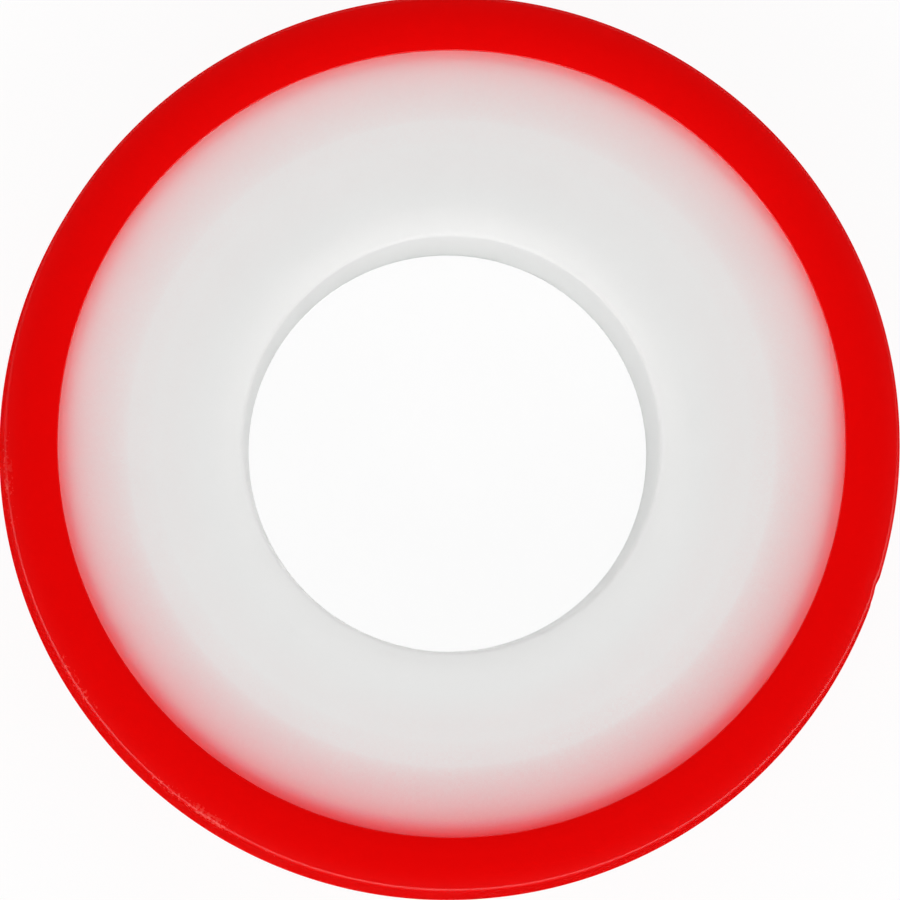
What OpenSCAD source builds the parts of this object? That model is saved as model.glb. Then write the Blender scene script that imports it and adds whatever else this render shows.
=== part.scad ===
// Thread seal tape roll. A milky spool holds the wound tape and turns on a rear flange,
// and a red cover slips over both from the front.
// The roll lies on its back with its axis along +Z. The origin is on the axis, in the
// plane that the rear flange rests on.

/* [Tape] */
// Width of the tape
tape_w = 12; // [10:0.5:20]
// Thickness of the tape before it is wound
tape_t = 0.1; // [0.08:0.005:0.12]
// How full the roll is: the part of the depth from hub to cover that the tape fills
fill_share = 0.64; // [0.1:0.01:0.85]
// Angle that the outer lap covers, up to its free end
lap_sweep = 330; // [240:5:345]
// Height that the free end of the tape stands off the roll
end_lift = 0.7; // [0:0.1:1]

/* [Spool] */
// Diameter of the bore at the rear end of the hub
bore_d = 25; // [20:0.5:28]
// Length of the straight stretch of the bore at that end
bore_land = 3; // [1:0.5:8]
// Growth in the bore's radius from there to the front
bore_draft = 0.45; // [0:0.05:0.8]
// Thickness of the hub wall at its rear end
hub_wall = 2; // [1.8:0.1:2.6]
// Thickness of the front flange
front_flange_t = 1.2; // [1:0.1:2]
// Radius of the rounded edge between the bore and the front face
bore_edge_r = 0.7; // [0.3:0.1:1.2]
// Width of the ring round the bore over which the front face falls towards it
dish_w = 1.7; // [1.4:0.1:3]
// Depth of that fall
dish_h = 0.25; // [0.05:0.05:0.4]

/* [Rear flange] */
// Thickness of the rear flange
rear_flange_t = 1.2; // [1:0.1:2]
// Width of the raised ring at the edge that the roll rests on
rest_ring_w = 2.2; // [1:0.1:4]
// Height of that ring
rest_ring_h = 0.3; // [0.1:0.05:0.4]

/* [Cover] */
// Diameter of the cover at its front edge
cover_d = 55.8; // [54:0.1:64]
// Thickness of the cover's wall at its ends
cover_wall = 1.2; // [0.8:0.1:1.5]
// Width of the lip round the front window
lip_w = 3.5; // [2.6:0.1:3.6]
// Thickness of the lip at the window's edge
lip_t = 0.4; // [0.4:0.1:1.2]
// Height of the lip's crown above the window's edge
crown_h = 0.2; // [0.1:0.05:0.5]
// Fall from that crown to the front edge
front_fall = 0.6; // [0.3:0.1:1]
// Radius of the rounded front edge
corner_r = 0.4; // [0.4:0.1:1.2]
// Height of the parting line above the rear rim
parting_h = 5; // [3:0.5:8]
// Growth in radius from the front edge to the parting line
front_draft = 0.2; // [0.2:0.1:1]
// Loss in radius from the parting line to the rear rim
rear_draft = 0.1; // [0.1:0.1:0.5]

/* [Fits] */
// Radial clearance of the hub's spigot in the rear flange
spin_fit = 0.05; // [0.02:0.01:0.09]
// Clearance between the tape and both flanges
tape_gap = 0.15; // [0.1:0.05:0.4]
// Clearance of the cover round the rear flange
cover_fit = 0.15; // [0.1:0.05:0.3]
// Clearance of the front flange inside the cover's wall
rim_gap = 0.6; // [0.4:0.1:0.8]
// Clearance between the lip and the front flange
lip_gap = 0.05; // [0.05:0.05:0.3]
// Height of the cover's rear rim above the rest plane
rim_lift = 0.4; // [0.2:0.1:0.6]

/* [Hidden] */
$fn = 96;
arc_steps = 10;
lap_steps = 66;

// Part of its thickness that the soft tape keeps under winding tension
wound_share = 0.75;
// Part of the outer lap over which the free end lifts
lift_share = 0.12;
// Part of the lip's width from the window's edge to its crown
crown_share = 0.35;

// Hub end: step from the hub to its spigot, then the snap bead with its clearances
// along and across the axis and its height above the rest plane
spigot_step = 0.7;
bead_h = 0.35;
bead_out = 0.3;
bead_gap = 0.05;
bead_fit = 0.15;
bead_recess = 0.1;
// Clearance between the hub and the first turn of tape
seat_gap = 0.05;

// Heights from the rest plane
tape_z = rear_flange_t + tape_gap;
flange_z = tape_z + tape_w + tape_gap;
face_z = flange_z + front_flange_t;
lip_z = face_z + lip_gap;
window_z = lip_z + lip_t;
top_z = window_z + crown_h;
shoulder_z = rear_flange_t + bead_gap;
bead_z = bead_recess + bead_h;
web_z = bead_z + bead_gap;
parting_z = rim_lift + parting_h;

// Radii from the axis
bore_r = bore_d / 2;
bore_front_r = bore_r + bore_draft;
hub_r = bore_r + hub_wall;
spigot_r = hub_r - spigot_step;
bead_r = spigot_r + bead_out;
hole_r = spigot_r + spin_fit;
counterbore_r = bead_r + bead_fit;
core_r = hub_r + seat_gap;
front_r = cover_d / 2;
window_r = front_r - lip_w;
parting_r = front_r + front_draft;
rim_r = parting_r - rear_draft;
cover_in_r = front_r - cover_wall;
roll_r = core_r + fill_share * (cover_in_r - core_r);
lap_r = roll_r + seat_gap;
mouth_r = rim_r - cover_wall;
front_flange_r = cover_in_r - rim_gap;
// The cover's inside narrows from its mouth to its lip, and the rear flange fits in it
taper_share = (rear_flange_t - rim_lift) / (lip_z - rim_lift);
rear_flange_r = mouth_r + (cover_in_r - mouth_r) * taper_share - cover_fit;

// Crown across the lip: two arcs that meet level at its top. The front edge's round
// touches the outer arc from inside and touches the wall.
crown_in = lip_w * crown_share;
crown_out = lip_w - crown_in;
inner_crown_r = (crown_in * crown_in + crown_h * crown_h) / (2 * crown_h);
outer_crown_r = (crown_out * crown_out + front_fall * front_fall) / (2 * front_fall);
inner_crown_c = [window_r + crown_in, top_z - inner_crown_r];
outer_crown_c = [window_r + crown_in, top_z - outer_crown_r];
corner_x = front_r - corner_r;
corner_up = sqrt(pow(outer_crown_r - corner_r, 2) - pow(corner_x - outer_crown_c.x, 2));
corner_c = [corner_x, outer_crown_c.y + corner_up];
crown_from = 180 - acos(crown_in / inner_crown_r);
crown_to = atan2(corner_up, corner_x - outer_crown_c.x);

// Round between the bore and the sloping ring: it touches both
dish_a = atan2(dish_h, dish_w);
bore_edge_c = [bore_front_r + bore_edge_r,
    face_z - (dish_w - bore_edge_r) * tan(dish_a) - bore_edge_r / cos(dish_a)];

// Points of an arc, both ends included
function arc(centre, radius, from, to) =
    [for (i = [0 : arc_steps]) let (a = from + (to - from) * i / arc_steps)
        centre + radius * [cos(a), sin(a)]];

// Middle radius of the outer lap: level on the roll, then lifting smoothly at its end
function lap_lift(share) = let (u = max(0, (share - 1 + lift_share) / lift_share)) end_lift * u * u;
function lap_point(share, out) =
    (lap_r + out + lap_lift(share)) * [cos(lap_sweep * share), sin(lap_sweep * share)];
function lap_side(out) = [for (i = [0 : lap_steps]) lap_point(i / lap_steps, out)];
function reversed(points) = [for (i = [len(points) - 1 : -1 : 0]) points[i]];

// Least gap of the lap to itself, between points at least half a turn apart
lap_mid = lap_side(tape_t / 2);
far_steps = ceil(lap_steps * 180 / lap_sweep);
lap_gap = min([for (i = [0 : lap_steps - far_steps], j = [i + far_steps : lap_steps])
    norm(lap_mid[i] - lap_mid[j])]) - tape_t;
echo(least_gap_of_outer_lap = lap_gap);

// Length of tape that the roll holds
echo(tape_length = PI * (roll_r * roll_r - core_r * core_r) / (tape_t * wound_share));

// Front flange and hub in one moulding, dished round the bore, with a snap bead at the
// rear end of the hub
module spool() {
    color("whitesmoke")
    rotate_extrude()
    polygon(concat(
        [[bore_r, bead_recess + bore_land], [bore_r, bead_recess], [spigot_r, bead_recess],
         [bead_r, bead_z - bead_h / 2], [bead_r, bead_z], [spigot_r, bead_z],
         [spigot_r, shoulder_z], [hub_r, shoulder_z], [hub_r, flange_z],
         [front_flange_r, flange_z], [front_flange_r, face_z], [bore_front_r + dish_w, face_z]],
        arc(bore_edge_c, bore_edge_r, 90 + dish_a, 180)));
}

// Disc that the spool turns on, with a counterbore for the bead and a ring to rest on
module rear_flange() {
    rest_in_r = rear_flange_r - rest_ring_w;
    color("white")
    rotate_extrude()
    polygon([[hole_r, web_z], [counterbore_r, web_z], [counterbore_r, rest_ring_h],
        [rest_in_r, rest_ring_h], [rest_in_r, 0], [rear_flange_r, 0],
        [rear_flange_r, rear_flange_t], [hole_r, rear_flange_t]]);
}

// Red shell: crowned lip, rounded front edge, wall that widens to the parting line
module cover() {
    color("red")
    rotate_extrude()
    polygon(concat(
        [[mouth_r, rim_lift], [rim_r, rim_lift], [parting_r, parting_z]],
        arc(corner_c, corner_r, 0, crown_to),
        arc(outer_crown_c, outer_crown_r, crown_to, 90),
        arc(inner_crown_c, inner_crown_r, 90, crown_from),
        [[window_r, lip_z], [cover_in_r, lip_z]]));
}

// Wound tape as a plain core
module tape_roll() {
    color("ivory")
    translate([0, 0, tape_z])
    rotate_extrude()
    translate([core_r, 0])
    square([roll_r - core_r, tape_w]);
}

// Outer lap of the tape with its free end
module tape_end() {
    color("ivory")
    translate([0, 0, tape_z])
    linear_extrude(tape_w)
    polygon(concat(lap_side(0), reversed(lap_side(tape_t))));
}

spool();
rear_flange();
cover();
tape_roll();
tape_end();
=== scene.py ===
import bpy
import math
import numpy as np
from mathutils import Matrix, Vector


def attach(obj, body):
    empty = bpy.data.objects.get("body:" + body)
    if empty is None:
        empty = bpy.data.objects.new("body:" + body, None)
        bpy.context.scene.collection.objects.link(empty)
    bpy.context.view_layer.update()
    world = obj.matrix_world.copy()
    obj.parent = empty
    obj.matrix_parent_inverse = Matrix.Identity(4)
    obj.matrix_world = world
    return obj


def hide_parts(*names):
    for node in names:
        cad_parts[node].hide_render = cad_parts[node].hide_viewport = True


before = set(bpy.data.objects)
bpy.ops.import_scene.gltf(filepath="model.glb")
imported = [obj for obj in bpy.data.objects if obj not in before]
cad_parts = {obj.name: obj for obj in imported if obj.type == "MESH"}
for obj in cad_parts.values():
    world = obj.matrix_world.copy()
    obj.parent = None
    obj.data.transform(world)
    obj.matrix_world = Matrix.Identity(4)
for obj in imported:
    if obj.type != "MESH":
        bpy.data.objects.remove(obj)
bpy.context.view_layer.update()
mm = 0.001
print("frame loaded:", sorted(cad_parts))


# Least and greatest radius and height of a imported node, in mm
def ringSizes(node):
    points = np.array([v.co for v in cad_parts[node].data.vertices]) / mm
    radius = np.hypot(points[:, 0], points[:, 1])
    height = points[:, 2]
    return {"inner": radius.min(), "outer": radius.max(), "low": height.min(), "high": height.max()}


# sRGB hex to linear: x/12.92 below 0.04045, else ((x + 0.055)/1.055) to the power 2.4
def srgb(hexText):
    share = np.array([int(hexText[i:i + 2], 16) for i in (1, 3, 5)]) / 255
    linear = np.where(share <= 0.04045, share / 12.92, ((share + 0.055) / 1.055) ** 2.4)
    return (*linear.tolist(), 1.0)


# One node. A setting that is another node's socket is linked to the input of that name or number, and any
# other is the value of that input or of a property.
def addNode(tree, kind, settings=None):
    node = tree.nodes.new(kind)
    for key, value in (settings or {}).items():
        if isinstance(value, bpy.types.NodeSocket):
            tree.links.new(value, node.inputs[key])
        elif isinstance(key, int) or key in node.inputs:
            node.inputs[key].default_value = value
        else:
            setattr(node, key, value)
    return node


# An empty material, its node tree and the Object coordinates in it
def newMaterial(name):
    material = bpy.data.materials.new(name)
    material.use_nodes = True
    tree = material.node_tree
    tree.nodes.clear()
    return material, tree, addNode(tree, "ShaderNodeTexCoord").outputs["Object"]


# Normal with the faint ripple of a moulded face
def mouldedRipple(tree, place, plan):
    peel = addNode(tree, "ShaderNodeTexNoise", {
        "Vector": place, "Scale": 1 / (plan["peelSize"] * mm), "Detail": 3.0})
    bump = addNode(tree, "ShaderNodeBump", {
        "Strength": 1.0, "Distance": plan["peelHeight"] * mm, "Height": peel.outputs["Fac"]})
    return bump.outputs[0]


# Closed profile with every corner rounded. The tangent length is round / tan(half the corner's angle), the
# arc's centre lies round / sin(half angle) along the corner's bisector, and the runs between arcs get points
# that crowd towards their ends as (1 - cos) does, so that flat faces shade flat.
def roundedProfile(corners, arcPoints=9, runPoints=6, leastRound=0.02):
    rows = np.array(corners, float)
    point, rounding = rows[:, :2], np.maximum(rows[:, 2:3], leastRound)
    back = np.roll(point, 1, 0) - point
    ahead = np.roll(point, -1, 0) - point
    back /= np.linalg.norm(back, axis=1, keepdims=True)
    ahead /= np.linalg.norm(ahead, axis=1, keepdims=True)
    half = np.arccos(np.clip((back * ahead).sum(1, keepdims=True), -1, 1)) / 2
    bisector = back + ahead
    bisector /= np.linalg.norm(bisector, axis=1, keepdims=True)
    centre = point + bisector * rounding / np.sin(half)
    first = point + back * rounding / np.tan(half)
    last = point + ahead * rounding / np.tan(half)
    start = np.arctan2(*(first - centre).T[::-1])
    sweep = wrapped(np.arctan2(*(last - centre).T[::-1]) - start)
    angle = start[:, None] + sweep[:, None] * np.linspace(0, 1, arcPoints)
    arcs = centre[:, None] + rounding[:, None] * np.stack([np.cos(angle), np.sin(angle)], -1)
    share = (1 - np.cos(np.pi * np.arange(1, runPoints + 1) / (runPoints + 1))) / 2
    runs = last[:, None] + (np.roll(first, -1, 0) - last)[:, None] * share[:, None]
    return np.concatenate([arcs, runs], 1).reshape(-1, 2)


# Angle brought to between minus and plus half a turn
def wrapped(angle):
    return (angle + np.pi) % (2 * np.pi) - np.pi


# Bell of height 1: exp(-(x/width)^2)
def bell(x, width):
    return np.exp(-(x / width) ** 2)


# Mesh piece from points in mm and quads. Faces are turned round if the signed volume, a sixth of the sum of
# a . (b x c) over the triangles, comes out negative.
def addPiece(name, points, quads, material):
    tris = np.concatenate([quads[:, :3], quads[:, [0, 2, 3]]])
    a, b, c = (points[tris[:, i]] for i in range(3))
    if (a * np.cross(b, c)).sum() < 0:
        quads = quads[:, ::-1]
    mesh = bpy.data.meshes.new(name)
    mesh.from_pydata((points * mm).tolist(), [], quads.tolist())
    mesh.polygons.foreach_set("use_smooth", np.ones(len(quads), bool))
    mesh.materials.append(material)
    mesh.update()
    piece = bpy.data.objects.new(name, mesh)
    bpy.context.scene.collection.objects.link(piece)
    print("piece made:", name, len(quads), "quads")
    return piece


# Quads between neighbours of a grid of numbers that closes on itself both ways
def ringQuads(turnCount, profileCount):
    index = np.arange(turnCount * profileCount).reshape(turnCount, profileCount)
    beside, above = np.roll(index, -1, 0), np.roll(index, -1, 1)
    return np.stack([index, beside, np.roll(beside, -1, 1), above], -1).reshape(-1, 4)


# Surface of revolution: x = r cos(turn), y = r sin(turn), z = z, with r and z given on the whole grid
def revolved(radius, height, turn):
    return np.stack([radius * np.cos(turn), radius * np.sin(turn), height], -1).reshape(-1, 3)


# Angle of each step round the axis, and the profile's radius and height repeated at each of them
def turnedGrid(profile, turnCount):
    turn = np.arange(turnCount)[:, None] * 2 * np.pi / turnCount
    ones = np.ones((turnCount, 1))
    return turn, profile[:, 0] * ones, profile[:, 1] * ones


# Lengths in mm, as in the other pieces' dictionaries
coverPlan = {
    "lipThickness": 0.4, "wall": 1.2, "crown": 0.2, "crownShare": 0.35, "innerCrownRound": 3.2,
    "frontFall": 0.6, "outerCrownRound": 3.7, "edgeRound": 0.5, "windowRound": 0.12, "windowTrim": 0.1,
    "frontDraft": 0.2, "rearDraft": 0.1, "partingHeight": 5.0,
    "mouthRound": 0.12, "rimRound": 0.25, "lipRound": 0.08, "insideRound": 0.2,
    "seamWidth": 0.16, "seamHeight": 0.04, "seamSunk": 0.01,   # flash line where the mould halves met
    "seamFootRound": 0.05, "seamRound": 0.04,
    "gateTurn": -18.3, "gateWidth": 0.5, "gateDepth": 0.22,    # degrees and size, where it was cut free
    "gateLength": 9.0, "gateSkin": 0.6,                        # along the axis, and the wall left whole
    "turns": 480,
    "red": "#E40000", "scuffed": "#F0685C", "roughness": 0.27, "wornRoughness": 0.55, "ior": 1.49,
    "glow": 0.3, "glowDepth": 0.9,          # share and depth of the light that travels inside the plastic
    "glowColours": (1.0, 0.12, 0.1),        # and how far its red, green and blue get of that
    "passing": "#EE1010",                   # what one face of the thin wall lets through of the light on it
    "peelSize": 0.7, "peelHeight": 0.004,   # the faint ripple of a moulded face
    "scuffInset": 0.1, "scuffBand": 0.6,    # rubbed line inside the front corner, and the reach round it
    "scuffSize": 0.24, "clusterSize": 7.0,
    "scuffFrom": 0.342, "scuffTo": 0.385,   # speck times cluster where a scuff starts and is full
    "scuffMost": 0.8,
    "rubbedSide": (-0.84, -0.55, 0.0),      # where the edge has rubbed most, seen from the axis
    "rubbedFrom": 0.80, "rubbedTo": 0.97,   # shares of the edge's radius along that way
}


# Red polypropylene, injection moulded: saturated red with a soft satin shine, a little light inside it at
# thin edges, a very faint ripple, and pale dry scuffs where the front edge has rubbed
def redPolypropylene(plan, edge):
    material, tree, place = newMaterial("redPolypropyleneSatin")
    edgeRadius, edgeHeight = edge[0] * mm, edge[1] * mm
    flat = addNode(tree, "ShaderNodeVectorMath", {"operation": "MULTIPLY", 0: place, 1: (1, 1, 0)})
    radius = addNode(tree, "ShaderNodeVectorMath", {"operation": "LENGTH", 0: flat.outputs[0]})
    axes = addNode(tree, "ShaderNodeSeparateXYZ", {0: place})
    section = addNode(tree, "ShaderNodeCombineXYZ", {"X": radius.outputs["Value"], "Z": axes.outputs["Z"]})
    offEdge = addNode(tree, "ShaderNodeVectorMath", {
        "operation": "DISTANCE", 0: section.outputs[0], 1: (edgeRadius, 0, edgeHeight)})
    nearEdge = addNode(tree, "ShaderNodeMapRange", {
        "Value": offEdge.outputs["Value"], "From Min": plan["scuffBand"] * mm, "From Max": 0.0})
    speck = addNode(tree, "ShaderNodeTexNoise", {
        "Vector": place, "Scale": 1 / (plan["scuffSize"] * mm), "Detail": 4.0, "Roughness": 0.6})
    cluster = addNode(tree, "ShaderNodeTexNoise", {
        "Vector": place, "Scale": 1 / (plan["clusterSize"] * mm), "Detail": 2.0})
    both = addNode(tree, "ShaderNodeMath", {
        "operation": "MULTIPLY", 0: speck.outputs["Fac"], 1: cluster.outputs["Fac"]})
    scuff = addNode(tree, "ShaderNodeMapRange", {
        "Value": both.outputs[0], "From Min": plan["scuffFrom"], "From Max": plan["scuffTo"]})
    rubbed = addNode(tree, "ShaderNodeVectorMath", {
        "operation": "DOT_PRODUCT", 0: place, 1: plan["rubbedSide"]})
    side = addNode(tree, "ShaderNodeMapRange", {
        "Value": rubbed.outputs["Value"],
        "From Min": plan["rubbedFrom"] * edgeRadius, "From Max": plan["rubbedTo"] * edgeRadius})
    there = addNode(tree, "ShaderNodeMath", {
        "operation": "MULTIPLY", 0: side.outputs[0], 1: nearEdge.outputs[0]})
    worn = addNode(tree, "ShaderNodeMath", {
        "operation": "MULTIPLY", 0: scuff.outputs[0], 1: there.outputs[0]})
    wornTint = addNode(tree, "ShaderNodeMath", {
        "operation": "MULTIPLY", 0: worn.outputs[0], 1: plan["scuffMost"]})
    colour = addNode(tree, "ShaderNodeMix", {
        "data_type": "RGBA", 0: wornTint.outputs[0], 6: srgb(plan["red"]), 7: srgb(plan["scuffed"])})
    shine = addNode(tree, "ShaderNodeMapRange", {
        "Value": worn.outputs[0], "To Min": plan["roughness"], "To Max": plan["wornRoughness"]})
    plastic = addNode(tree, "ShaderNodeBsdfPrincipled", {
        "Base Color": colour.outputs[2], "Roughness": shine.outputs[0], "IOR": plan["ior"],
        "Normal": mouldedRipple(tree, place, plan), "Subsurface Weight": plan["glow"],
        "Subsurface Radius": plan["glowColours"], "Subsurface Scale": plan["glowDepth"] * mm})
    path = addNode(tree, "ShaderNodeLightPath")
    leaking = addNode(tree, "ShaderNodeBsdfTransparent", {"Color": srgb(plan["passing"])})
    wall = addNode(tree, "ShaderNodeMixShader", {
        0: path.outputs["Is Shadow Ray"], 1: plastic.outputs[0], 2: leaking.outputs[0]})
    addNode(tree, "ShaderNodeOutputMaterial", {"Surface": wall.outputs[0]})
    return material


# Profile of the shell carried round the axis. The gate mark is a bell-shaped dent in the radius, round the
# axis and along it from the parting line.
def makeCover(plan):
    size = ringSizes("cover")
    parting, rim = size["outer"], size["low"]
    front = parting - plan["frontDraft"]
    window, top = size["inner"] + plan["windowTrim"], size["high"]
    partingZ = rim + plan["partingHeight"]
    lipTop = top - plan["crown"]
    underLip = lipTop - plan["lipThickness"]
    inside = front - plan["wall"]
    rear = parting - plan["rearDraft"]
    seam = plan["seamWidth"] / 2
    seamFoot = parting - plan["seamSunk"]
    edgeZ = top - plan["frontFall"]
    peak = window + (front - window) * plan["crownShare"]
    profile = roundedProfile([
        (rear - plan["wall"], rim, plan["mouthRound"]),
        (rear, rim, plan["rimRound"]),
        (seamFoot, partingZ - seam, plan["seamFootRound"]),
        (seamFoot + plan["seamHeight"], partingZ, plan["seamRound"]),
        (seamFoot, partingZ + seam, plan["seamFootRound"]),
        (front, edgeZ, plan["edgeRound"]),
        ((peak + front) / 2, top, plan["outerCrownRound"]),
        ((peak + window) / 2, top, plan["innerCrownRound"]),
        (window, lipTop, plan["windowRound"]),
        (window, underLip, plan["lipRound"]),
        (inside, underLip, plan["insideRound"])])
    turn, radius, height = turnedGrid(profile, plan["turns"])
    along = wrapped(turn - math.radians(plan["gateTurn"])) * parting
    outer = radius > inside + plan["gateSkin"]
    dent = bell(along, plan["gateWidth"]) * bell(height - partingZ, plan["gateLength"]) * outer
    radius = radius - plan["gateDepth"] * dent
    material = redPolypropylene(plan, (front - plan["scuffInset"], edgeZ - plan["scuffInset"]))
    return addPiece("redCover", revolved(radius, height, turn), ringQuads(*radius.shape), material)


spoolPlan = {
    "hubWall": 2.0, "spigotStep": 0.7, "beadOut": 0.3, "beadHeight": 0.35, "shoulder": 1.25,
    "flange": 1.2, "boreDraft": 0.45, "boreLand": 3.0, "landRound": 8.0, "edgeRound": 0.35, "rimRound": 0.3,
    "dishWidth": 1.4, "dishDepth": 0.36, "dishRound": 5.3,    # the face falls a little towards the bore
    "endRound": 0.15, "spigotRound": 0.1, "beadRound": 0.08, "stepRound": 0.04, "shoulderRound": 0.06,
    "rootRound": 0.12,
    "turns": 360,
    "milk": "#F0F0EF", "roughness": 0.36, "ior": 1.49, "glow": 1.0, "glowDepth": 1.6,
    "peelSize": 0.5, "peelHeight": 0.003,
    "paintedRedGlow": "#EA0030", "paintedGlowMost": 0.52,                    # painted red glow, standing in for the red light that comes through the cover close to it
    "paintedGlowReach": 6.0, "paintedGlowRise": 0.18,                     # length and slope of rays that seek the cover
    "openFrom": 0.72, "openTo": 0.26, "paintedGlowEase": 1.3,       # free share of them at no tint and at the most
    "paintedGlowFrom": 15.5, "paintedGlowFull": 17.5,                     # from the axis
    "faceFrom": 0.3, "faceFull": 0.1,                         # below the front face
    "paintedGlowSide": (0.03, -1.0, 0.0),                          # side where the painted red glow is stronger
    "paintedGlowSideFrom": -6.0, "paintedGlowSideTo": 24.0,                     # along that way
    "paintedGlowSideDepth": 2.2,                                       # layers of the usual tint there
}


# Unfilled polypropylene, injection moulded: milky, so light spreads inside it, with a quiet satin face. On it
# is a painted
# # red glow for the red light through the cover, where the cover is near. Several layers of the tint show 1 -
# (1 - tint) to the power of layers.
def milkyPolypropylene(plan, faceHeight):
    material, tree, place = newMaterial("milkyPolypropyleneSatin")
    flat = addNode(tree, "ShaderNodeVectorMath", {"operation": "MULTIPLY", 0: place, 1: (1, 1, 0)})
    radius = addNode(tree, "ShaderNodeVectorMath", {"operation": "LENGTH", 0: flat.outputs[0]})
    outwards = addNode(tree, "ShaderNodeVectorMath", {"operation": "NORMALIZE", 0: flat.outputs[0]})
    raised = addNode(tree, "ShaderNodeVectorMath", {
        "operation": "ADD", 0: outwards.outputs[0], 1: (0, 0, plan["paintedGlowRise"])})
    aimed = addNode(tree, "ShaderNodeVectorTransform", {
        "vector_type": "VECTOR", "convert_from": "OBJECT", "convert_to": "WORLD", 0: raised.outputs[0]})
    # painted red glow: the base colour turns red where these rays find the cover close by
    beside = addNode(tree, "ShaderNodeAmbientOcclusion", {
        "samples": 16, "Distance": plan["paintedGlowReach"] * mm, "Normal": aimed.outputs[0]})
    close = addNode(tree, "ShaderNodeMapRange", {
        "Value": beside.outputs["AO"], "From Min": plan["openFrom"], "From Max": plan["openTo"]})
    near = addNode(tree, "ShaderNodeMath", {
        "operation": "POWER", 0: close.outputs[0], 1: plan["paintedGlowEase"]})
    tint = addNode(tree, "ShaderNodeMath", {
        "operation": "MULTIPLY", 0: near.outputs[0], 1: plan["paintedGlowMost"]})
    outer = addNode(tree, "ShaderNodeMapRange", {
        "Value": radius.outputs["Value"],
        "From Min": plan["paintedGlowFrom"] * mm, "From Max": plan["paintedGlowFull"] * mm})
    axes = addNode(tree, "ShaderNodeSeparateXYZ", {0: place})
    face = addNode(tree, "ShaderNodeMapRange", {
        "Value": axes.outputs["Z"], "From Min": (faceHeight - plan["faceFrom"]) * mm,
        "From Max": (faceHeight - plan["faceFull"]) * mm})
    where = addNode(tree, "ShaderNodeMath", {
        "operation": "MULTIPLY", 0: outer.outputs[0], 1: face.outputs[0]})
    paintedRedGlow = addNode(tree, "ShaderNodeMath", {
        "operation": "MULTIPLY", 0: tint.outputs[0], 1: where.outputs[0]})
    # painted red glow made stronger towards one side, the lit side
    sideways = addNode(tree, "ShaderNodeVectorMath", {
        "operation": "DOT_PRODUCT", 0: place, 1: plan["paintedGlowSide"]})
    layers = addNode(tree, "ShaderNodeMapRange", {
        "Value": sideways.outputs["Value"], "From Min": plan["paintedGlowSideFrom"] * mm,
        "From Max": plan["paintedGlowSideTo"] * mm, "To Min": 1.0, "To Max": plan["paintedGlowSideDepth"]})
    pale = addNode(tree, "ShaderNodeMath", {"operation": "SUBTRACT", 0: 1.0, 1: paintedRedGlow.outputs[0]})
    left = addNode(tree, "ShaderNodeMath", {
        "operation": "POWER", 0: pale.outputs[0], 1: layers.outputs[0]})
    shown = addNode(tree, "ShaderNodeMath", {"operation": "SUBTRACT", 0: 1.0, 1: left.outputs[0]})
    colour = addNode(tree, "ShaderNodeMix", {
        "data_type": "RGBA", 0: shown.outputs[0], 6: srgb(plan["milk"]), 7: srgb(plan["paintedRedGlow"])})
    plastic = addNode(tree, "ShaderNodeBsdfPrincipled", {
        "Base Color": colour.outputs[2], "Roughness": plan["roughness"], "IOR": plan["ior"],
        "Normal": mouldedRipple(tree, place, plan), "Subsurface Weight": plan["glow"],
        "Subsurface Radius": (1.0, 1.0, 1.0), "Subsurface Scale": plan["glowDepth"] * mm})
    addNode(tree, "ShaderNodeOutputMaterial", {"Surface": plastic.outputs[0]})
    return material


# Hub and front flange as one profile carried round the axis
def makeSpool(plan):
    size = ringSizes("spool")
    bore, low, high, rim = size["inner"], size["low"], size["high"], size["outer"]
    hub = bore + plan["hubWall"]
    spigot = hub - plan["spigotStep"]
    bead, beadTop = spigot + plan["beadOut"], low + plan["beadHeight"]
    flangeLow = high - plan["flange"]
    boreFront = bore + plan["boreDraft"]
    profile = roundedProfile([
        (bore, low, plan["endRound"]),
        (spigot, low, plan["spigotRound"]),
        (bead, beadTop - plan["beadHeight"] / 2, plan["beadRound"]),
        (bead, beadTop, plan["stepRound"]),
        (spigot, beadTop, plan["stepRound"]),
        (spigot, plan["shoulder"], plan["stepRound"]),
        (hub, plan["shoulder"], plan["shoulderRound"]),
        (hub, flangeLow, plan["rootRound"]),
        (rim, flangeLow, plan["rimRound"]),
        (rim, high, plan["rimRound"]),
        (boreFront + plan["dishWidth"], high, plan["dishRound"]),
        (boreFront, high - plan["dishDepth"], plan["edgeRound"]),
        (bore, low + plan["boreLand"], plan["landRound"])])
    turn, radius, height = turnedGrid(profile, plan["turns"])
    material = milkyPolypropylene(plan, high)
    return addPiece("milkySpool", revolved(radius, height, turn), ringQuads(*radius.shape), material)


rearFlangePlan = {
    "counterbore": 14.25, "webLow": 0.5, "ringHeight": 0.3, "ringWidth": 2.2,
    "webRound": 0.04, "holeRound": 0.06, "recessRound": 0.1, "ringRound": 0.08, "rimRound": 0.15,
    "turns": 320,
    "white": "#E9E9E7", "roughness": 0.4, "ior": 1.49, "glow": 0.4, "glowDepth": 0.5,
    "peelSize": 0.5, "peelHeight": 0.004,
}


# White polypropylene with pigment: opaque satin white with the faint ripple of a moulded face
def whitePolypropylene(plan):
    material, tree, place = newMaterial("whitePolypropyleneSatin")
    plastic = addNode(tree, "ShaderNodeBsdfPrincipled", {
        "Base Color": srgb(plan["white"]), "Roughness": plan["roughness"], "IOR": plan["ior"],
        "Normal": mouldedRipple(tree, place, plan), "Subsurface Weight": plan["glow"],
        "Subsurface Radius": (1.0, 1.0, 1.0), "Subsurface Scale": plan["glowDepth"] * mm})
    addNode(tree, "ShaderNodeOutputMaterial", {"Surface": plastic.outputs[0]})
    return material


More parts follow.
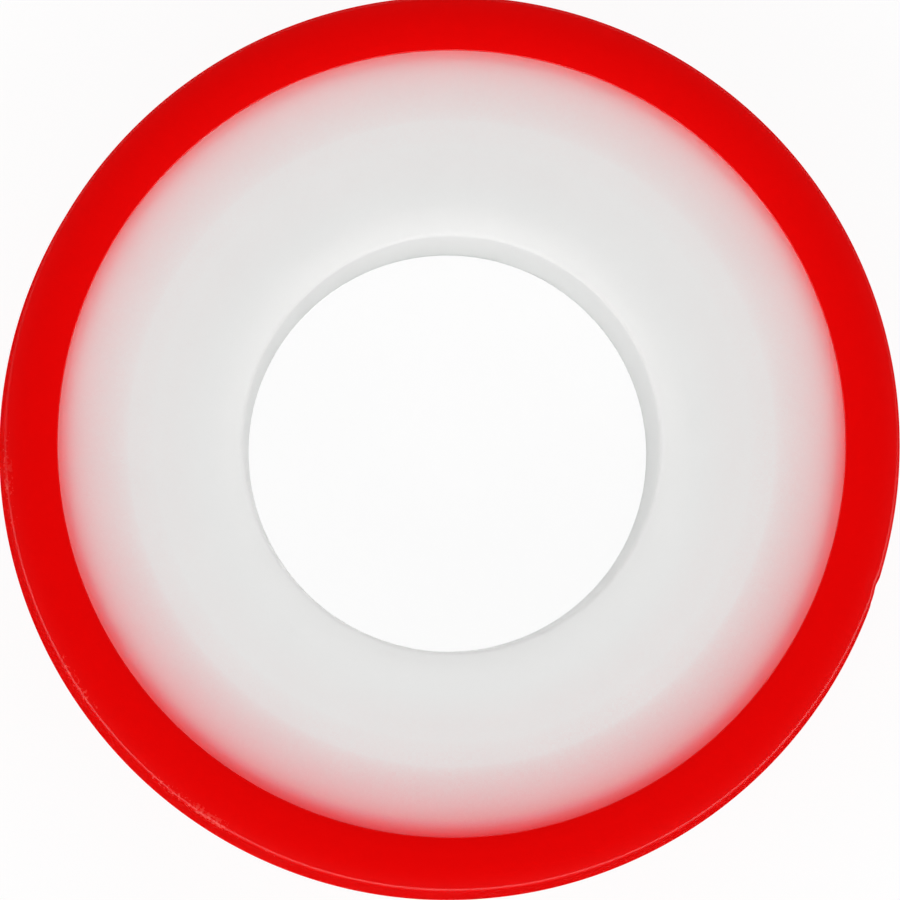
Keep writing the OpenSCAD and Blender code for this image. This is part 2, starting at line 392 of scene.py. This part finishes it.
# Stepped disc: one profile carried round the axis
def makeRearFlange(plan):
    size = ringSizes("rear_flange")
    hole, rim, top = size["inner"], size["outer"], size["high"]
    ringInner = rim - plan["ringWidth"]
    profile = roundedProfile([
        (hole, plan["webLow"], plan["webRound"]),
        (plan["counterbore"], plan["webLow"], plan["webRound"]),
        (plan["counterbore"], plan["ringHeight"], plan["holeRound"]),
        (ringInner, plan["ringHeight"], plan["recessRound"]),
        (ringInner, 0.0, plan["ringRound"]),
        (rim, 0.0, plan["rimRound"]),
        (rim, top, plan["rimRound"]),
        (hole, top, plan["holeRound"])])
    turn, radius, height = turnedGrid(profile, plan["turns"])
    material = whitePolypropylene(plan)
    return addPiece("whiteRearFlange", revolved(radius, height, turn), ringQuads(*radius.shape), material)


# The film that both tape pieces are made of
tapePlan = {
    "white": "#F3F3F0", "streaked": "#E6E6E3", "roughness": 0.55, "ior": 1.36, "glow": 0.5, "glowDepth": 0.4,
    "fibre": 0.25, "fibreHeight": 0.012, "fibreStretch": 40,   # across and high, and times as long as wide
    "streakFrom": 0.3, "streakTo": 0.7,
}


# Unsintered fluoropolymer film: soft waxy white, matt, with fine fibre streaks along its length. The streaks
# are drawn wider than the real ones, so that they show.
def fluoropolymerTape(plan):
    material, tree, place = newMaterial("fluoropolymerTapeMatt")
    across = 1 / (plan["fibre"] * mm)
    lengthways = across / plan["fibreStretch"]
    stretched = addNode(tree, "ShaderNodeMapping", {
        "Vector": place, "Scale": (lengthways, lengthways, across)})
    streak = addNode(tree, "ShaderNodeTexNoise", {
        "Vector": stretched.outputs[0], "Scale": 1.0, "Detail": 4.0, "Roughness": 0.6})
    shade = addNode(tree, "ShaderNodeMapRange", {
        "Value": streak.outputs["Fac"], "From Min": plan["streakFrom"], "From Max": plan["streakTo"]})
    colour = addNode(tree, "ShaderNodeMix", {
        "data_type": "RGBA", 0: shade.outputs[0], 6: srgb(plan["streaked"]), 7: srgb(plan["white"])})
    bump = addNode(tree, "ShaderNodeBump", {
        "Strength": 1.0, "Distance": plan["fibreHeight"] * mm, "Height": streak.outputs["Fac"]})
    film = addNode(tree, "ShaderNodeBsdfPrincipled", {
        "Base Color": colour.outputs[2], "Roughness": plan["roughness"], "IOR": plan["ior"],
        "Normal": bump.outputs[0], "Subsurface Weight": plan["glow"],
        "Subsurface Radius": (1.0, 1.0, 1.0), "Subsurface Scale": plan["glowDepth"] * mm})
    addNode(tree, "ShaderNodeOutputMaterial", {"Surface": film.outputs[0]})
    return material


rollPlan = {
    "ridges": 34, "ridgePoints": 4, "ridgeHeight": 0.035, "uneven": 0.03, "wallRows": 12,
    "turns": 240, "seed": 7,
}


# Wound core: the end faces are rows of small ridges, |sin| across the radius, each row a little high or low
def makeTapeRoll(plan, material):
    size = ringSizes("tape_roll")
    ridges = plan["ridges"]
    rows = np.random.default_rng(plan["seed"]).uniform(-1, 1, (2, ridges)) * plan["uneven"]
    share = np.linspace(0, 1, ridges * plan["ridgePoints"] + 1)
    ridge = np.minimum((share * ridges).astype(int), ridges - 1)
    fall = plan["ridgeHeight"] * (1 - np.abs(np.sin(np.pi * share * ridges)))
    radius = size["inner"] + (size["outer"] - size["inner"]) * share
    lowFace = np.stack([radius, size["low"] + fall - np.minimum(rows[0][ridge], 0)], -1)
    highFace = np.stack([radius, size["high"] - fall + np.minimum(rows[1][ridge], 0)], -1)[::-1]
    wallShare = np.linspace(0, 1, plan["wallRows"] + 2)[1:-1, None]
    outerWall = lowFace[-1] + (highFace[0] - lowFace[-1]) * wallShare
    innerWall = highFace[-1] + (lowFace[0] - highFace[-1]) * wallShare
    profile = np.concatenate([lowFace, outerWall, highFace, innerWall])
    turn, radius, height = turnedGrid(profile, plan["turns"])
    return addPiece("woundTape", revolved(radius, height, turn), ringQuads(*radius.shape), material)


lapPlan = {
    "sweep": 330, "thickness": 0.1, "gap": 0.05,
    "lift": 0.7, "liftShare": 0.12,                                # free end's rise, and the share that rises
    "ripple": 0.035, "rippleLength": 5.0, "rippleLeast": 0.25,     # and its share away from the end
    "rippleSlant": 2.2, "rippleAcross": 1.7, "rippleDrift": 3,
    "cutSlant": 0.5, "cutRagged": 0.12, "cutPower": 60,            # the tear, and how near the end it stays
    "alongCount": 420, "acrossCount": 40, "seed": 3,
}


# Outer lap: a strip whose radius is level and then rises as the square of the way along its end, with a slow
# ripple that grows towards the free end. The skin is that grid moved out and in by half the thickness, and
# closed at its rim.
def makeTapeEnd(plan, material):
    size = ringSizes("tape_roll")
    half = plan["thickness"] / 2
    along = np.linspace(0, 1, plan["alongCount"])[:, None]
    across = np.linspace(0, 1, plan["acrossCount"])[None, :]
    base = size["outer"] + plan["gap"] + half
    length = math.radians(plan["sweep"]) * base
    rise = np.clip((along - 1 + plan["liftShare"]) / plan["liftShare"], 0, 1)
    wave = np.sin(2 * np.pi * along * length / plan["rippleLength"] + plan["rippleSlant"] * across)
    wave = wave * np.sin(np.pi * across * plan["rippleAcross"] + plan["rippleDrift"] * along)
    ripple = plan["ripple"] * (plan["rippleLeast"] + rise) * (wave + 1)
    radius = base + plan["lift"] * rise ** 2 + ripple
    tear = np.random.default_rng(plan["seed"]).uniform(-1, 1, across.shape) * plan["cutRagged"]
    cut = (plan["cutSlant"] * (across - 0.5) + tear) * along ** plan["cutPower"]
    turn = (along * length + cut) / base
    height = size["low"] + (size["high"] - size["low"]) * across + 0 * along
    count = radius.size
    index = np.arange(count).reshape(radius.shape)
    outer = np.stack([index[:-1, :-1], index[1:, :-1], index[1:, 1:], index[:-1, 1:]], -1).reshape(-1, 4)
    rim = np.concatenate([index[:-1, 0], index[-1, :-1], index[:0:-1, -1], index[0, :0:-1]])
    ahead = np.roll(rim, -1)
    side = np.stack([ahead, rim, rim + count, ahead + count], -1)
    quads = np.concatenate([outer, outer[:, ::-1] + count, side])
    points = np.concatenate([revolved(radius + half, height, turn), revolved(radius - half, height, turn)])
    return addPiece("outerTapeLap", points, quads, material), length


cover = makeCover(coverPlan)
spool = makeSpool(spoolPlan)
rearFlange = makeRearFlange(rearFlangePlan)
tapeMaterial = fluoropolymerTape(tapePlan)
tapeRoll = makeTapeRoll(rollPlan, tapeMaterial)
tapeEnd, lapLength = makeTapeEnd(lapPlan, tapeMaterial)

for piece, body, node, slot in (
        (cover, "cover", "cover", "red_plastic"),
        (spool, "spool", "spool", "milky_plastic"),
        (rearFlange, "rear_flange", "rear_flange", "white_plastic"),
        (tapeRoll, "spool", "tape_roll", "seal_tape"),
        (tapeEnd, "spool", "tape_end", "seal_tape")):
    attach(piece, body)
    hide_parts(node)
print("pieces ride on their bodies")


# Rays that see the plain white background: camera or transmission rays, and glossy rays
def backgroundRays(tree):
    path = addNode(tree, "ShaderNodeLightPath")
    straight = addNode(tree, "ShaderNodeMath", {
        "operation": "MAXIMUM", 0: path.outputs["Is Camera Ray"], 1: path.outputs["Is Transmission Ray"]})
    return straight.outputs[0], path.outputs["Is Glossy Ray"]


floorPlan = {
    "paper": "#F4F4F4", "shadowShare": 0.07,            # part of the white that takes shadows
    "reach": 2.6, "sunk": 0.02,                         # m, and mm below the rest plane
    "rings": 24, "hubShare": 0.02, "turns": 96,         # and the share of the way out where the rings start
    "paintedRedBounce": "#E00000", "shadeFrom": 0.045, "shadeTo": 0.40,   # painted red bounce and shade that gloss mirrors by the cover, and m
    "boreShade": "#B4BFBC", "boreMiddle": 0.0106,                  # painted shade that gloss mirrors in the bore, and m
    "boreFrom": 0.0125, "boreTo": 0.016,
}


# White paper that takes a faint shadow. Gloss mirrors it as white far out, with painted red bounce and shade
# round the
# # cover and painted grey shade close to the wall of the bore.
def whitePaper(plan):
    material, tree, place = newMaterial("mattWhitePaper")
    white = (1, 1, 1, 1)
    straight, glossy = backgroundRays(tree)
    share = addNode(tree, "ShaderNodeMath", {
        "operation": "MULTIPLY", 0: straight, 1: 1 - plan["shadowShare"]})
    paper = addNode(tree, "ShaderNodeBsdfDiffuse", {"Color": srgb(plan["paper"])})
    shining = addNode(tree, "ShaderNodeEmission", {"Color": white, "Strength": 1.0})
    plain = addNode(tree, "ShaderNodeMixShader", {
        0: share.outputs[0], 1: paper.outputs[0], 2: shining.outputs[0]})
    away = addNode(tree, "ShaderNodeVectorMath", {"operation": "LENGTH", 0: place}).outputs["Value"]
    clear = addNode(tree, "ShaderNodeMapRange", {
        "Value": away, "From Min": plan["shadeFrom"], "From Max": plan["shadeTo"]})
    through = addNode(tree, "ShaderNodeMapRange", {
        "Value": away, "From Min": plan["boreTo"], "From Max": plan["boreFrom"]})
    nearWall = addNode(tree, "ShaderNodeMapRange", {
        "Value": away, "From Min": plan["boreMiddle"], "From Max": plan["boreFrom"]})
    inBore = addNode(tree, "ShaderNodeMix", {
        "data_type": "RGBA", 0: nearWall.outputs[0], 6: white, 7: srgb(plan["boreShade"])})
    # painted red bounce round the cover and painted shade in the bore, seen by glossy rays only
    below = addNode(tree, "ShaderNodeMix", {
        "data_type": "RGBA", 0: through.outputs[0], 6: srgb(plan["paintedRedBounce"]), 7: inBore.outputs[2]})
    tinted = addNode(tree, "ShaderNodeMix", {
        "data_type": "RGBA", 0: clear.outputs[0], 6: below.outputs[2], 7: white})
    mirrored = addNode(tree, "ShaderNodeEmission", {"Color": tinted.outputs[2], "Strength": 1.0})
    mixed = addNode(tree, "ShaderNodeMixShader", {0: glossy, 1: plain.outputs[0], 2: mirrored.outputs[0]})
    addNode(tree, "ShaderNodeOutputMaterial", {"Surface": mixed.outputs[0]})
    return material


# Floor: a disc of rings, radius growing as the square of the way out, closed in the middle by one face
def makeFloor(plan):
    out = np.linspace(plan["hubShare"], 1, plan["rings"])[None, :] ** 2 * plan["reach"] / mm
    turn = np.arange(plan["turns"])[:, None] * 2 * np.pi / plan["turns"]
    radius = out * np.ones_like(turn)
    points = revolved(radius, np.full(radius.shape, -plan["sunk"]), turn)
    index = np.arange(radius.size).reshape(radius.shape)
    beside = np.roll(index, -1, 0)
    quads = np.stack([index[:, :-1], index[:, 1:], beside[:, 1:], beside[:, :-1]], -1).reshape(-1, 4)
    middle = [index[:, 0].tolist()]
    mesh = bpy.data.meshes.new("floor")
    mesh.from_pydata((points * mm).tolist(), [], quads.tolist() + middle)
    mesh.materials.append(whitePaper(plan))
    floor = bpy.data.objects.new("floor", mesh)
    bpy.context.scene.collection.objects.link(floor)


skyPlan = {
    "overhead": 0.06, "horizon": 0.9, "overheadFrom": 0.75,   # strengths, and where overhead starts
    "facing": 0.9, "behindShare": 0.35,                       # reach of front and back, and the back's share
    "bandTop": 0.22, "bandStart": 0.05, "bandFull": -0.25,    # the low band in front that gloss mirrors
    "mirroredSky": 0.03, "mirroredBand": 3.1,
}


# Surroundings: dark overhead and brighter towards the horizon in front, white where the background itself is
# seen, and for gloss dark with a bright low band in front
def makeSurroundings(plan):
    world = bpy.data.worlds.new("studio")
    world.use_nodes = True
    tree = world.node_tree
    tree.nodes.clear()
    ray = addNode(tree, "ShaderNodeTexCoord").outputs["Generated"]
    axes = addNode(tree, "ShaderNodeSeparateXYZ", {0: ray})
    level = addNode(tree, "ShaderNodeMapRange", {
        "Value": axes.outputs["Z"], "From Min": 0.0, "From Max": plan["overheadFrom"],
        "To Min": plan["horizon"], "To Max": plan["overhead"]})
    facing = addNode(tree, "ShaderNodeMapRange", {
        "Value": axes.outputs["Y"], "From Min": -plan["facing"], "From Max": plan["facing"],
        "To Min": 1.0, "To Max": plan["behindShare"]})
    dim = addNode(tree, "ShaderNodeMath", {
        "operation": "MULTIPLY", 0: level.outputs[0], 1: facing.outputs[0]})
    straight, glossy = backgroundRays(tree)
    low = addNode(tree, "ShaderNodeMath", {
        "operation": "LESS_THAN", 0: axes.outputs["Z"], 1: plan["bandTop"]})
    front = addNode(tree, "ShaderNodeMapRange", {
        "Value": axes.outputs["Y"], "From Min": plan["bandStart"], "From Max": plan["bandFull"]})
    lowFront = addNode(tree, "ShaderNodeMath", {
        "operation": "MULTIPLY", 0: low.outputs[0], 1: front.outputs[0]})
    band = addNode(tree, "ShaderNodeMapRange", {
        "Value": lowFront.outputs[0], "To Min": plan["mirroredSky"], "To Max": plan["mirroredBand"]})
    spread = addNode(tree, "ShaderNodeMix", {
        "data_type": "FLOAT", 0: glossy, 2: dim.outputs[0], 3: band.outputs[0]})
    strength = addNode(tree, "ShaderNodeMix", {
        "data_type": "FLOAT", 0: straight, 2: spread.outputs[0], 3: 1.0})
    sky = addNode(tree, "ShaderNodeBackground", {"Color": (1, 1, 1, 1), "Strength": strength.outputs[0]})
    addNode(tree, "ShaderNodeOutputWorld", {"Surface": sky.outputs[0]})
    bpy.context.scene.world = world


softboxes = {
    "frontSoftbox": {"place": (-0.15, -0.85, 0.95), "size": (1.2, 0.6), "power": 5.8},
    "leftSoftbox": {"place": (-0.80, -0.35, 0.90), "size": (0.9, 0.6), "power": 4.55},
    "rightSoftbox": {"place": (0.80, -0.30, 0.90), "size": (0.9, 0.6), "power": 4.75},
    "backFill": {"place": (0.10, 0.85, 0.95), "size": (1.2, 0.7), "power": 5.75},
}


# Soft boxes that only fill: gloss mirrors the surroundings alone, so no patch of light shows
def makeLights(boxes):
    for name, box in boxes.items():
        lamp = bpy.data.lights.new(name, "AREA")
        lamp.shape = "RECTANGLE"
        lamp.size, lamp.size_y = box["size"]
        lamp.energy = box["power"]
        lamp.cycles.use_multiple_importance_sampling = False   # or scattered rays bring the hidden shine back
        light = bpy.data.objects.new(name, lamp)
        light.location = box["place"]
        light.rotation_mode = "QUATERNION"
        light.rotation_quaternion = (-Vector(box["place"])).to_track_quat("-Z", "Y")
        light.visible_camera = False
        light.visible_glossy = False
        bpy.context.scene.collection.objects.link(light)


# The photograph's camera: almost straight down, leaning towards the viewer and a little to the left
shot = {
    "aim": (-0.11, -0.40, 15.15),                     # mm
    "distance": 1600.0, "turn": 23.3, "lean": 2.82,   # mm, degrees
    "pixelsPerMm": 16.08, "pixels": 900, "sensor": 36.0,
    "nearest": 0.1, "farthest": 20,                   # m
}


# The way back to the camera is the vertical leaned over and turned, and the picture's right is Y x back
def makeCamera(view):
    turn, lean = math.radians(view["turn"]), math.radians(view["lean"])
    back = Vector((-math.sin(turn) * math.sin(lean), -math.cos(turn) * math.sin(lean), math.cos(lean)))
    right = Vector((0, 1, 0)).cross(back).normalized()
    up = back.cross(right)
    lens = bpy.data.cameras.new("camera")
    lens.sensor_width = view["sensor"]
    lens.lens = view["pixelsPerMm"] * view["distance"] * view["sensor"] / view["pixels"]
    lens.clip_start, lens.clip_end = view["nearest"], view["farthest"]
    camera = bpy.data.objects.new("camera", lens)
    place = (Vector(view["aim"]) + back * view["distance"]) * mm
    camera.matrix_world = Matrix.Translation(place) @ Matrix((right, up, back)).transposed().to_4x4()
    bpy.context.scene.collection.objects.link(camera)
    bpy.context.scene.camera = camera


makeFloor(floorPlan)
makeSurroundings(skyPlan)
makeLights(softboxes)
makeCamera(shot)
bpy.context.scene.view_settings.view_transform = "Standard"
print("stage, light and camera set")
